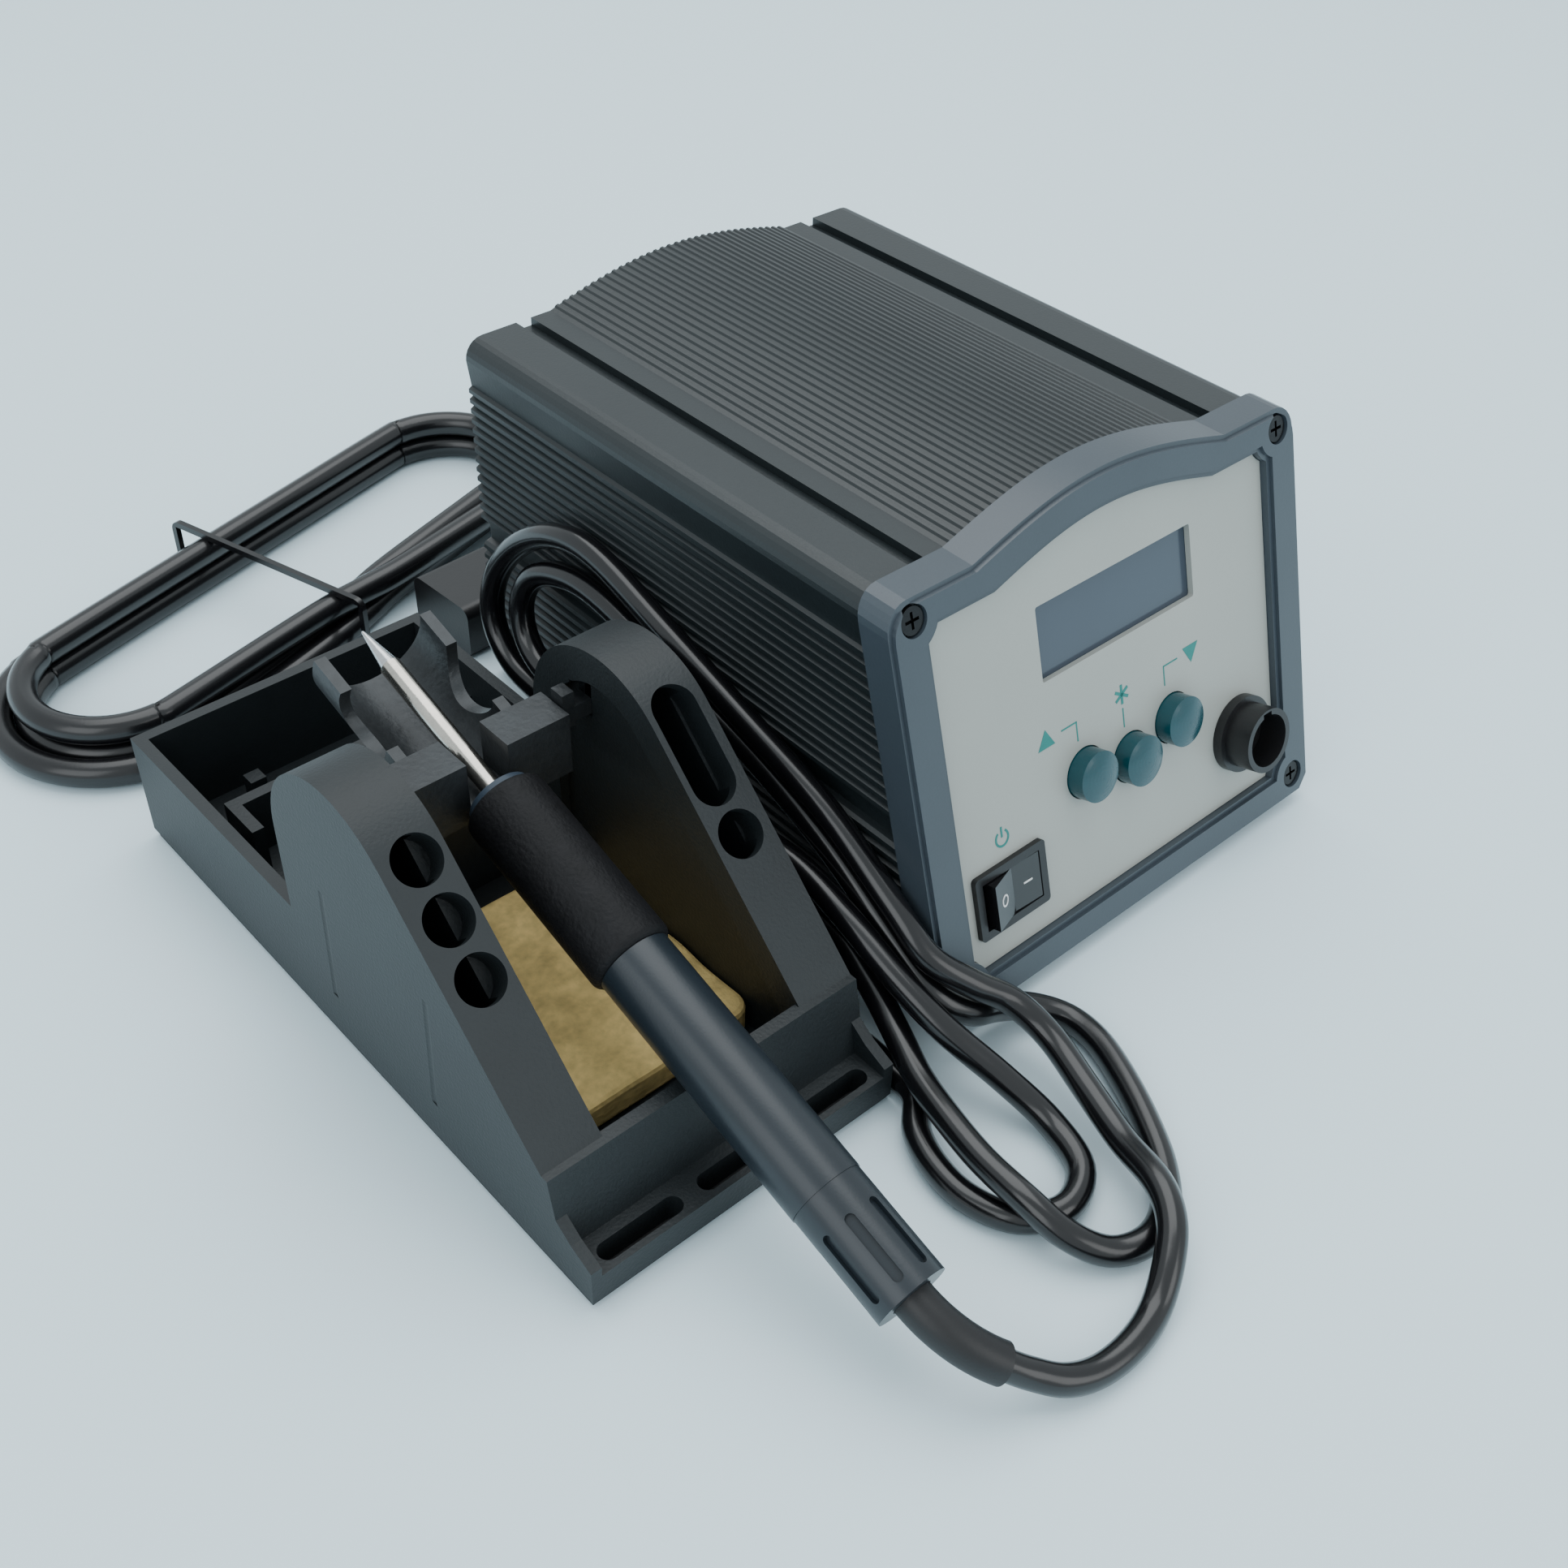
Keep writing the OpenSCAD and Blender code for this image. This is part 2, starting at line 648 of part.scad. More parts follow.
module stand_body() color("#3b444a") in_stand() difference() {
    union() {
        cheek(-1);
        cheek(1);
        translate([-stand_w / 2, 0, pad_t]) cube([stand_w, wall_foot_y + 4, ledge_z - pad_t]);
        for (x = [-stand_w / 2, stand_w / 2 - 2.5])
            along_x(x, 2.5)
                polygon([[0, pad_t], [0, ledge_z + 2.5], [6, ledge_z + 5], [wall_foot_y + 4, ledge_z + 9],
                    [wall_foot_y + 4, pad_t]]);
        along_x(-stand_w / 2, stand_w)
            polygon([[wall_foot_y, pad_t], [wall_top_y, wall_top_z], [wall_top_y + stand_wall, wall_top_z],
                [wall_top_y + stand_wall, pad_t]]);
        translate([-stand_w / 2, wall_top_y, pad_t])
            cube([stand_w, box_y - wall_top_y, floor_z - pad_t]);
        translate([-stand_w / 2, box_y - stand_wall, pad_t])
            cube([stand_w, stand_d - box_y + stand_wall, box_z - pad_t]);
    }
    for (x = [-24.5, 0, 24.5])
        translate([x, wall_foot_y / 2, pad_t - 1]) linear_extrude(20) slot2d(20, 4.4);
    // storage box
    difference() {
        translate([-stand_w / 2 + stand_wall, tray_back + stand_wall, floor_z])
            cube([stand_w - 2 * stand_wall, stand_d - tray_back - 2 * stand_wall, 60]);
        storage_ribs();
    }
    // the open bay between the cheeks
    translate([-bay_w / 2, wall_top_y + stand_wall, floor_z])
        cube([bay_w, tray_back - wall_top_y - stand_wall, 90]);
    // seats for the holder's tabs
    for (x = [-1, 1])
        translate([x * bay_w / 2, bar_y + bar_d / 2, bar_top - 2])
            cube([8, tab_t + 2 * seat_gap, 9], center = true);
    // tip holes and the long slot
    for (u = [1.5, 14, 26.5])
        on_slope(-stand_w / 2 + cheek_w / 2 + 0.6, u)
            translate([0, 0, -8]) cylinder(d = 10.4, h = 20);
    on_slope(stand_w / 2 - cheek_w / 2 - 0.4, 6.7)
        translate([0, 0, -8]) linear_extrude(20) rotate([0, 0, 90]) slot2d(27, 10.4);
    on_slope(stand_w / 2 - cheek_w / 2 - 0.4, 27)
        translate([0, 0, -8]) cylinder(d = 10.4, h = 20);
}

module storage_ribs() {
    translate([-stand_w / 2 + 9, 147, 0]) cube([stand_w - 9, stand_wall, 21]);
    translate([-stand_w / 2 + 9, 137, 0]) cube([stand_wall, 12, 21]);
    translate([-stand_w / 2 + 20, 159, 0]) cube([4, 4, 15]);
    for (x = [4, 27, 42])
        translate([-stand_w / 2 + x, 149, 0]) cube([10, 6, 11]);
    translate([-stand_w / 2 + 17, 112, 0]) cube([16, 10, 10]);
}

module base_pad() color("#17181a") in_stand()
    translate([-stand_w / 2 + 0.6, 1, 0]) cube([stand_w - 0.6, stand_d - 2, pad_t]);

// Height of the iron's axis above the table at a distance y from the stand's front edge
function axis_z(y) = rest_z + (y - 13) * tan(iron_rake);

// Distance along the iron to the rear face of the holder's bar
bar_s = rest_s + (bar_y + bar_d - 13) / cos(iron_rake);
bar_floor = axis_z(bar_y) - barrel_d / 2 / cos(iron_rake) - 0.1;

// A half pipe round the iron's barrel, open on top and scooped out at both sides
module shroud() difference() {
    intersection() {
        on_iron() translate([0, bar_s, 0]) rotate([-90, 0, 0]) cylinder(r = shroud_r, h = shroud_l);
        in_stand() translate([-50, bar_y + bar_d - 1, 0]) cube([100, 60, 120]);
    }
    on_iron() translate([0, bar_s - 9, 0]) rotate([-90, 0, 0])
        cylinder(r = shroud_r - shroud_wall, h = shroud_l + 12);
    on_iron() translate([-20, bar_s - 12, 3]) cube([40, shroud_l + 30, 40]);
    on_iron() translate([-20, bar_s + 14.5, 2]) rotate([0, 90, 0]) cylinder(r = 8.5, h = 40);
}

module iron_holder() color("#4b5054") {
    in_stand() difference() {
        translate([-bar_w / 2, bar_y, bar_low]) cube([bar_w, bar_d, bar_top - bar_low]);
        translate([iron_x - stand_x - bar_channel / 2, bar_y - 1, bar_floor])
            cube([bar_channel, bar_d + 2, 30]);
    }
    in_stand() for (x = [-1, 1])
        translate([x * (bar_w + bay_w + 4) / 4, bar_y + bar_d / 2, bar_top - 3.5])
            cube([(bay_w + 4 - bar_w) / 2 + 1, tab_t, 4], center = true);
    in_stand() for (x = [-1, 1])
        translate([x * (bar_w / 2 + 2), bar_y + bar_d / 2, bar_top - 2])
            cube([3, tab_t, 9], center = true);
    shroud();
}

module sponge() color("#b98f3e") in_stand()
    translate([sponge_x, tray_back - 12 - sponge_l / 2, floor_z + 0.3])
        linear_extrude(sponge_t) rounded_rect(sponge_w, sponge_l, 4);

// ---------- iron ----------

// A point at a distance y behind the unit's rear
function behind(x, y, z) = [x, rear_y + y, z];

// A point at distance d outside the hank's right-hand end, at angle a round it,
// and carried on along the hank by e
function hank_edge(a, d, e = 0) = let (r = hank_w / 2 + d, l = (hank_l - hank_w) / 2 + e)
    hank_at + [l * cos(hank_turn) + r * cos(hank_turn + a),
        l * sin(hank_turn) + r * sin(hank_turn + a), lead_z];

// Children drawn along the iron: Y from the cap's end towards the tip
module on_iron()
    translate([iron_x, stand_y + 13, rest_z])
        rotate([iron_rake, 0, 0])
            translate([0, -rest_s, 0])
                children();

// The same as a function, for a point
function iron_point(p) = let (y = p[1] - rest_s)
    [iron_x + p[0],
     stand_y + 13 + y * cos(iron_rake) - p[2] * sin(iron_rake),
     rest_z + y * sin(iron_rake) + p[2] * cos(iron_rake)];

// The point at distance t beyond the end of the bent sleeve
function sleeve_end(t) = let (side = sleeve_side() + t * sin(sleeve_bend))
    iron_point([side * cos(sleeve_roll), -sleeve_r * sin(sleeve_bend) - t * cos(sleeve_bend),
        -side * sin(sleeve_roll)]);

function sleeve_side() = sleeve_r * (1 - cos(sleeve_bend));

module turned(s)
    on_iron() translate([0, s, 0]) rotate([-90, 0, 0])
        children();

module iron_tip() color("#c9ccd0")
    turned(cone_s) {
        rotate_extrude() polygon([[0, -12], [barrel_d / 2 - 0.9, -12], [barrel_d / 2 - 0.9, 0],
            [barrel_d / 2 - 0.3, 0.02], [0.35, cone_l - 0.4], [0, cone_l]]);
    }

module tip_barrel() color("#b9b6ae") difference() {
    turned(barrel_s) cylinder(d = barrel_d, h = barrel_l);
    turned(barrel_s - 1) cylinder(d = barrel_d - 1.6, h = barrel_l + 3);
}

module heater_core() color("#d8d4c8")
    turned(barrel_s + 1) cylinder(d = barrel_d - 2, h = barrel_l - 14);

module nose_collar() color("#39424f") difference() {
    turned(collar_s) cylinder(d1 = grip_d - 3, d2 = grip_d - 4.4, h = collar_t);
    turned(collar_s - 1) cylinder(d = barrel_d - 1.6, h = 6);
}

module foam_grip() color("#131416")
    turned(grip_s) difference() {
        rotate_extrude() polygon(concat([[0, 0]],
            [for (a = [0:15:90]) [grip_d / 2 - 2 + 2 * sin(a), 2 - 2 * cos(a)]],
            [for (a = [0:15:90]) [grip_d / 2 - 2 + 2 * cos(a), grip_l - 2 + 2 * sin(a)]],
            [[0, grip_l]]));
        translate([0, 0, -1]) cylinder(d = 11, h = grip_l + 2);
    }

module iron_handle() color("#2c3742") {
    turned(handle_s) difference() {
        cylinder(d = handle_d, h = handle_l);
        translate([0, 0, -1]) cylinder(d = 9, h = handle_l + 2);
    }
    turned(grip_s) difference() {
        cylinder(d = 10.8, h = grip_l);
        translate([0, 0, -1]) cylinder(d = 8, h = grip_l + 2);
    }
}

module handle_cap() color("#2c3742")
    turned(0) difference() {
        cylinder(d = handle_d - 0.4, h = cap_l);
        translate([0, 0, -1]) cylinder(d = sleeve_d + 0.4, h = cap_l + 2);
        for (a = [0:45:315])
            rotate([0, 0, a + 22]) translate([handle_d / 2 - 1.2, 0, cap_l / 2 - 2])
                rotate([0, 90, 0]) linear_extrude(3) slot2d(cap_l - 9, 2.2);
    }

module cord_sleeve() color("#0e0f10") {
    turned(0) cylinder(d = sleeve_d, h = cap_l - 8);
    on_iron() rotate([0, sleeve_roll, 0])
        translate([sleeve_r, 0, 0])
            rotate([0, 0, 180])
                rotate_extrude(angle = sleeve_bend) translate([sleeve_r, 0]) circle(d = sleeve_d);
}

// ---------- cords ----------

function unit(v) = v / norm(v);

// A smooth curve through route p, k steps to a stretch
function curve(p, k) = concat(
    [for (i = [0:len(p) - 2], j = [0:k - 1])
        let (a = p[max(i - 1, 0)], b = p[i], c = p[i + 1], d = p[min(i + 2, len(p) - 1)], t = j / k)
        0.5 * ((2 * b) + (c - a) * t + (2 * a - 5 * b + 4 * c - d) * t * t
            + (3 * b - a - 3 * c + d) * t * t * t)],
    [p[len(p) - 1]]);

// A tube of diameter d swept along the points p, n sides
module tube(p, d, n) {
    m = len(p);
    tangent = [for (i = [0:m - 1]) unit(p[min(i + 1, m - 1)] - p[max(i - 1, 0)])];
    frame = frames(tangent, 0, []);
    points = [for (i = [0:m - 1], j = [0:n - 1])
        let (u = frame[i], v = cross(tangent[i], u))
        p[i] + d / 2 * (cos(360 * j / n) * u + sin(360 * j / n) * v)];
    faces = concat([[for (j = [0:n - 1]) j]],
        [for (i = [0:m - 2], j = [0:n - 1])
            [i * n + j, (i + 1) * n + j, (i + 1) * n + (j + 1) % n, i * n + (j + 1) % n]],
        [[for (j = [n - 1:-1:0]) (m - 1) * n + j]]);
    polyhedron(points, faces);
}

// A side direction for each ring, carried along the route without twisting
function frames(t, i, done) = i >= len(t) ? done :
    frames(t, i + 1, concat(done, [unit(i == 0
        ? cross(t[0], [0.1, 0.2, 1])
        : done[i - 1] - (done[i - 1] * t[i]) * t[i])]));

module iron_cord() color("#0b0b0c") tube(cord_route, cord_d, 8);

module at_plug()
    translate(cord_route[len(cord_route) - 1])
        rotate([-90, 0, 0])
            children();

module cord_plug() color("#121315")
    at_plug() difference() {
        union() {
            cylinder(d1 = cord_d + 2, d2 = plug_d - 1, h = 10);
            translate([0, 0, 10]) cylinder(d = plug_d - 1, h = plug_l - 10);
            translate([0, 0, plug_l]) cylinder(d = plug_d - 3.6, h = 9);
        }
        translate([0, 0, plug_l + 3]) cylinder(d = plug_d - 5.6, h = 10);
    }

module cord_plug_ring() color("#1d1f22")
    at_plug() translate([0, 0, plug_l - 8]) difference() {
        cylinder(d = plug_d + 1.6, h = 7);
        translate([0, 0, -1]) cylinder(d = plug_d - 1 + 2 * seat_gap, h = 9);
    }

module cord_plug_pins() color("#c8a95a")
    at_plug() for (a = [0:5])
        translate([3.2 * cos(60 * a), 3.2 * sin(60 * a), plug_l + 3]) cylinder(d = 1, h = 5);

module mains_hank() color("#0b0b0c")
    translate(hank_at) rotate([0, 0, hank_turn])
        linear_extrude(hank_h) difference() {
            slot2d(hank_l, hank_w);
            slot2d(hank_l - 4 * lead_d, hank_w - 4 * lead_d);
        }

module lead_to_socket() color("#0b0b0c") tube(lead_a, lead_d, 8);

module lead_to_plug() color("#0b0b0c") tube(lead_b, lead_d, 8);

module lead_socket() color("#0e0f10")
    translate(lead_a[len(lead_a) - 1]) rotate([0, -90, 3]) {
        cylinder(d1 = lead_d + 1, d2 = relief_d, h = socket_relief);
        translate([0, 0, socket_relief]) linear_extrude(socket_body[2])
            rounded_rect(socket_body[0], socket_body[1], 3);
    }

module mains_plug() color("#0e0f10")
    translate(lead_b[len(lead_b) - 1]) rotate([0, 90, hank_turn]) {
        cylinder(d1 = lead_d + 1, d2 = relief_d, h = mains_relief);
        translate([0, 0, mains_relief]) cylinder(d = mains_plug_d, h = mains_plug_t);
    }

module mains_plug_pins() color("#b9bcc0")
    translate(lead_b[len(lead_b) - 1]) rotate([0, 90, hank_turn])
        for (y = [-6, 6])
            translate([0, y, mains_relief + mains_plug_t]) cylinder(d = 4.6, h = 19);

module wire_tie() color("#0b0b0c")
    translate(hank_at) rotate([0, 0, hank_turn]) translate([-10, 0, 0])
        rotate([90, 0, 90]) linear_extrude(1.6) difference() {
            translate([0, hank_h / 2 + 0.9]) rounded_rect(hank_w + 3.4, hank_h + 1.8, 3);
            translate([0, hank_h / 2]) square([hank_w + 0.1, hank_h + 0.1], center = true);
        }

placed() case_shell();
placed() front_bezel();
placed() front_panel();
placed() display_window();
placed() display_module();
placed() control_board();
placed() key_switches();
placed() switch_housing();
placed() iron_socket();
placed() socket_insert();
placed() socket_contacts();
placed() rear_panel();
placed() mains_inlet();
placed() inlet_pins();
placed() fuse_cap();
placed() earth_socket();
placed() main_board();
placed() transformer_core();
placed() transformer_coil();
placed() front_screws();
placed() rear_screws();
placed() case_feet();
placed() power_rocker();
placed() button(0);  // button_up
placed() button(1);  // button_set
placed() button(2);  // button_down
placed() stand_body();
placed() base_pad();
placed() iron_holder();
placed() sponge();
placed() iron_tip();
placed() tip_barrel();
placed() heater_core();
placed() nose_collar();
placed() foam_grip();
placed() iron_handle();
placed() handle_cap();
placed() cord_sleeve();
placed() iron_cord();
placed() cord_plug();
placed() cord_plug_ring();
placed() cord_plug_pins();
placed() mains_hank();
placed() lead_to_socket();
placed() lead_to_plug();
placed() lead_socket();
placed() mains_plug();
placed() mains_plug_pins();
placed() wire_tie();
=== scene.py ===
import math

import bmesh
import bpy
from mathutils import Matrix, Vector


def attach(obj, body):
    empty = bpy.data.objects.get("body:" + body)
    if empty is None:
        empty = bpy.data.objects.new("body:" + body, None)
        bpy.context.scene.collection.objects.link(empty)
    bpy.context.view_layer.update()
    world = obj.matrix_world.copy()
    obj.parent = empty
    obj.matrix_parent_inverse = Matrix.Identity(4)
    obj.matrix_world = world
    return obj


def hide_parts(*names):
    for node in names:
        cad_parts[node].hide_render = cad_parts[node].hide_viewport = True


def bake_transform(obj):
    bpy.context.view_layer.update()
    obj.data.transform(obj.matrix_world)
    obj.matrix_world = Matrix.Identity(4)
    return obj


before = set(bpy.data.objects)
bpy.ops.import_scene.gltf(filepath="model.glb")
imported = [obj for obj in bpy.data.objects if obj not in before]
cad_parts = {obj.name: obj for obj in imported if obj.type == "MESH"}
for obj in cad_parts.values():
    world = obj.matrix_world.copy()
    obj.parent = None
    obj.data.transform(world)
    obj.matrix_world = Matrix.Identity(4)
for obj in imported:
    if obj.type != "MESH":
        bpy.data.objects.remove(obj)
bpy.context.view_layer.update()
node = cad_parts
MM = 0.001
UNIT = Vector((49.25, 30.8, 0)) * MM  # the middle of the control unit, on the table

# ---------- camera ----------
# A standing viewer looks down on the station from its front left.

camera_data = bpy.data.cameras.new("camera")
camera_data.lens = 41.8
camera_data.sensor_width = 36
camera = bpy.data.objects.new("camera", camera_data)
camera.location = UNIT + Vector((-271.5, -253, 300.9)) * MM
camera.rotation_euler = [math.radians(a) for a in (49.1, -1.47, -41.73)]
bpy.context.scene.collection.objects.link(camera)
bpy.context.scene.camera = camera

# ---------- iron's cord ----------
# A limp, glossy black silicone cord, a little over a metre long.
# It leaves the iron's sleeve, runs twice between unit and stand, and ends in a round plug.

CORD_D = 6.3
BY_CASE = -67.3
MIDWAY = -74
BY_STAND = -81.3


def new_object(name, data, body):
    """Links a piece and lets it ride on a body."""
    piece = bpy.data.objects.new(name, data)
    bpy.context.scene.collection.objects.link(piece)
    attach(piece, body)
    return piece


def span(tree, value, low, high):
    """Maps a value from the middle of its range to low and high."""
    m = tree.nodes.new("ShaderNodeMapRange")
    m.inputs["From Min"].default_value = 0.3
    m.inputs["From Max"].default_value = 0.7
    tree.links.new(value, m.inputs["Value"])
    for socket, number in (("To Min", low), ("To Max", high)):
        if isinstance(number, float):
            m.inputs[socket].default_value = number
        else:
            tree.links.new(number, m.inputs[socket])
    return m.outputs["Result"]


def surface_group():
    """Fine grain, slow mottling and settled dust, shared by every moulded and painted surface."""
    g = bpy.data.node_groups.new("moulded surface", "ShaderNodeTree")
    face = g.interface
    for name, start in (("Grain", 900.0), ("Mottle", 60.0), ("Dust", 0.15)):
        s = face.new_socket(name, in_out="INPUT", socket_type="NodeSocketFloat")
        s.default_value = start
    for name in ("Height", "Shade", "Dullness"):
        face.new_socket(name, in_out="OUTPUT", socket_type="NodeSocketFloat")
    inside = g.nodes.new("NodeGroupInput")
    out = g.nodes.new("NodeGroupOutput")
    coords = g.nodes.new("ShaderNodeTexCoord").outputs["Object"]

    def grain(scale_socket, detail):
        n = g.nodes.new("ShaderNodeTexNoise")
        n.inputs["Detail"].default_value = detail
        g.links.new(coords, n.inputs["Vector"])
        g.links.new(inside.outputs[scale_socket], n.inputs["Scale"])
        return n.outputs["Fac"]

    def combine(kind, a, b):
        m = g.nodes.new("ShaderNodeMath")
        m.operation = kind
        for i, v in enumerate((a, b)):
            if isinstance(v, float):
                m.inputs[i].default_value = v
            else:
                g.links.new(v, m.inputs[i])
        return m.outputs[0]

    fine = grain("Grain", 3.0)
    slow = grain("Mottle", 4.0)
    up = g.nodes.new("ShaderNodeNewGeometry").outputs["Normal"]
    split = g.nodes.new("ShaderNodeSeparateXYZ")
    g.links.new(up, split.inputs[0])
    facing_up = combine("MAXIMUM", split.outputs["Z"], 0.0)
    dust = combine("MULTIPLY", combine("MULTIPLY", facing_up, slow), inside.outputs["Dust"])
    g.links.new(fine, out.inputs["Height"])
    g.links.new(combine("ADD", combine("MULTIPLY", fine, 0.35), combine("MULTIPLY", slow, 0.65)),
                out.inputs["Shade"])
    g.links.new(combine("ADD", dust, combine("MULTIPLY", slow, 0.3)), out.inputs["Dullness"])
    return g


SURFACE = surface_group()


def finish(name, colour, rough, grain=900.0, depth=0.1, mottle=60.0, vary=0.12, dust=0.12,
           metal=0.0, coat=0.0, specular=0.5):
    """A moulded, painted or metal finish with its own grain, colour variation and dust."""
    mat = bpy.data.materials.new(name)
    mat.use_nodes = True
    tree = mat.node_tree
    shader = tree.nodes["Principled BSDF"]
    shader.inputs["Metallic"].default_value = metal
    shader.inputs["Coat Weight"].default_value = coat
    shader.inputs["Coat Roughness"].default_value = 0.15
    shader.inputs["Specular IOR Level"].default_value = specular
    surface = tree.nodes.new("ShaderNodeGroup")
    surface.node_tree = SURFACE
    surface.inputs["Grain"].default_value = grain
    surface.inputs["Mottle"].default_value = mottle
    surface.inputs["Dust"].default_value = dust
    ramp = tree.nodes.new("ShaderNodeValToRGB")
    ramp.color_ramp.elements[0].position = 0.3
    ramp.color_ramp.elements[1].position = 0.7
    ramp.color_ramp.elements[0].color = [c * (1 - vary) for c in colour] + [1]
    ramp.color_ramp.elements[1].color = [min(1, c * (1 + vary)) for c in colour] + [1]
    tree.links.new(surface.outputs["Shade"], ramp.inputs["Fac"])
    tree.links.new(ramp.outputs["Color"], shader.inputs["Base Color"])
    tree.links.new(span(tree, surface.outputs["Dullness"], rough - 0.05, rough + 0.1),
                   shader.inputs["Roughness"])
    bump = tree.nodes.new("ShaderNodeBump")
    bump.inputs["Strength"].default_value = depth
    bump.inputs["Distance"].default_value = 0.0004
    tree.links.new(surface.outputs["Height"], bump.inputs["Height"])
    tree.links.new(bump.outputs["Normal"], shader.inputs["Normal"])
    return mat


def dress(mat, *names):
    """Gives CAD nodes their finish."""
    for name in names:
        node[name].material_slots[0].material = mat


def smooth(points, steps=6):
    """Closely spaced points on a smooth curve through a cord's route, in metres."""
    p = [UNIT + Vector(q) * MM for q in points]
    fine = []
    for i in range(len(p) - 1):
        a, b, c, d = p[max(i - 1, 0)], p[i], p[i + 1], p[min(i + 2, len(p) - 1)]
        for j in range(steps):
            t = j / steps
            fine.append(0.5 * (2 * b + (c - a) * t + (2 * a - 5 * b + 4 * c - d) * t * t
                               + (3 * b - a - 3 * c + d) * t * t * t))
    return fine + [p[-1]]


def cord_curve(name, fine, diameter, mat):
    """A round cord along closely spaced points, as one open curve."""
    curve = bpy.data.curves.new(name, "CURVE")
    curve.dimensions = "3D"
    curve.bevel_depth = diameter / 2 * MM
    curve.bevel_resolution = 5
    curve.use_fill_caps = True
    line = curve.splines.new("POLY")
    line.points.add(len(fine) - 1)
    for spot, p in zip(line.points, fine):
        spot.co = (*p, 1)
    line.use_smooth = True
    curve.materials.append(mat)
    return curve


# The iron's frame: Y runs along the iron from its cap to its tip
STAND_X = -124
STAND_Y = -89
IRON_RAKE = math.radians(16.5)
REST_S = 60.6
REST_Z = 27 + 8 / math.cos(IRON_RAKE) + 0.55
IRON = (Matrix.Translation(Vector((STAND_X - 1, STAND_Y + 13, REST_Z)) * MM)
        @ Matrix.Rotation(IRON_RAKE, 4, "X") @ Matrix.Translation(Vector((0, -REST_S, 0)) * MM))
SLEEVE_R = 26
SLEEVE_BEND = math.radians(45)
SLEEVE_ROLL = math.radians(25)


def sleeve_end(beyond):
    """The point at a distance beyond the end of the bent sleeve, in millimetres."""
    side = SLEEVE_R * (1 - math.cos(SLEEVE_BEND)) + beyond * math.sin(SLEEVE_BEND)
    back = -SLEEVE_R * math.sin(SLEEVE_BEND) - beyond * math.cos(SLEEVE_BEND)
    local = Vector((side * math.cos(SLEEVE_ROLL), back, -side * math.sin(SLEEVE_ROLL)))
    return tuple(IRON @ (local * MM) / MM)


cord_route = [
    sleeve_end(0), sleeve_end(6), (-109, -158.8, 5), (-102, -161.2, 3.5),
    (-93, -161.5, 3.3), (-84, -159.5, 3.8), (-76, -155.5, 7.5), (-70, -150.5, 10),
    (-65.3, -143, 10), (-61, -131, 7.5), (-56.5, -117, 8), (-53.8, -104.5, 10.5),
    (-56, -95, 15), (-62.5, -89, 20), (-68.5, -81, 26), (-68.7, -70, 33), (BY_CASE, -48, 43),
    (BY_CASE, -21, 51.5), (BY_CASE, 8, 60.5), (BY_CASE, 31, 67), (-68, 46, 65.5),
    (-69, 60, 56.5), (-71, 68.5, 44), (-73, 68.5, 32), (-74, 60, 23.5), (MIDWAY, 44, 20.8),
    (MIDWAY, 10, 20.5), (MIDWAY, -28, 20.5), (MIDWAY, -58, 20), (-75.5, -71, 16),
    (-78.5, -83, 11.8), (-82.5, -94, 10), (-85.5, -105, 10), (-87.8, -117, 10),
    (-88.3, -129, 9.9), (-86.5, -138.5, 7), (-81, -145.5, 3.7), (-73, -148.5, 3.3),
    (-64.5, -146, 3.3), (-57, -139, 3.3), (-50.5, -129, 3.3), (-45, -118, 3.3),
    (-41.5, -108, 3.3), (-41.5, -99.5, 3.4), (-46.5, -93, 5), (-54.5, -90.3, 8),
    (-63, -89.3, 12), (-68.8, -83.8, 17), (-68.8, -73, 22.5), (BY_CASE, -50, 33.5),
    (BY_CASE, -25, 43), (BY_CASE, 5, 50.5), (BY_CASE, 31, 56), (-68, 45, 55),
    (-69.5, 54.5, 50), (-71.5, 57.5, 41.5), (-73, 54, 33.5), (MIDWAY, 45, 29.2),
    (MIDWAY, 30, 27.8), (MIDWAY, 5, 27.5), (MIDWAY, -24, 28.5), (MIDWAY, -46, 30.5),
    (-75, -63, 28), (-75.3, -79, 22.5), (-73.5, -92, 16.5), (-69, -105, 9.5),
    (-66.5, -117, 4.2), (-70, -128.5, 3.3), (-79.3, -133, 3.3), (-88.6, -128.5, 3.3),
    (-92.6, -119, 3.3), (-92.2, -109.5, 3.3), (-88.7, -100.5, 3.3), (-82.2, -93.5, 3.3),
    (-81.2, -84, 3.3), (BY_STAND, -50, 3.3), (BY_STAND, -14, 3.5), (-79, 0, 6),
    (-76.6, 12, 8.6), (-76.6, 18, 8.6),
]
cord_black = finish("cord silicone", (0.004, 0.004, 0.005), 0.27, grain=2500.0, depth=0.03,
                    mottle=40.0, vary=0.25, dust=0.3, coat=0.25)
cord_line = smooth(cord_route)
drawn = bpy.data.objects.new("drawn_cord",
                             cord_curve("drawn_cord", cord_line, CORD_D, cord_black))
bpy.context.scene.collection.objects.link(drawn)
bpy.context.view_layer.update()
tube = bpy.data.meshes.new_from_object(drawn.evaluated_get(bpy.context.evaluated_depsgraph_get()))
bpy.data.objects.remove(drawn)
iron_cord = bpy.data.objects.new("iron_cord_run", tube)
bpy.context.scene.collection.objects.link(iron_cord)
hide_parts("iron_cord")
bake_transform(iron_cord)
plug_black = finish("plug moulding", (0.008, 0.008, 0.009), 0.42, grain=1400.0, depth=0.08,
                    mottle=80.0, vary=0.2)
dress(plug_black, "cord_plug", "cord_plug_ring", "lead_socket", "mains_plug")

# ---------- mains lead ----------
# A black PVC lead, folded into a hank of three turns behind the unit and held by a wire tie.
# It ends in a moulded inlet connector and a two-pin plug.

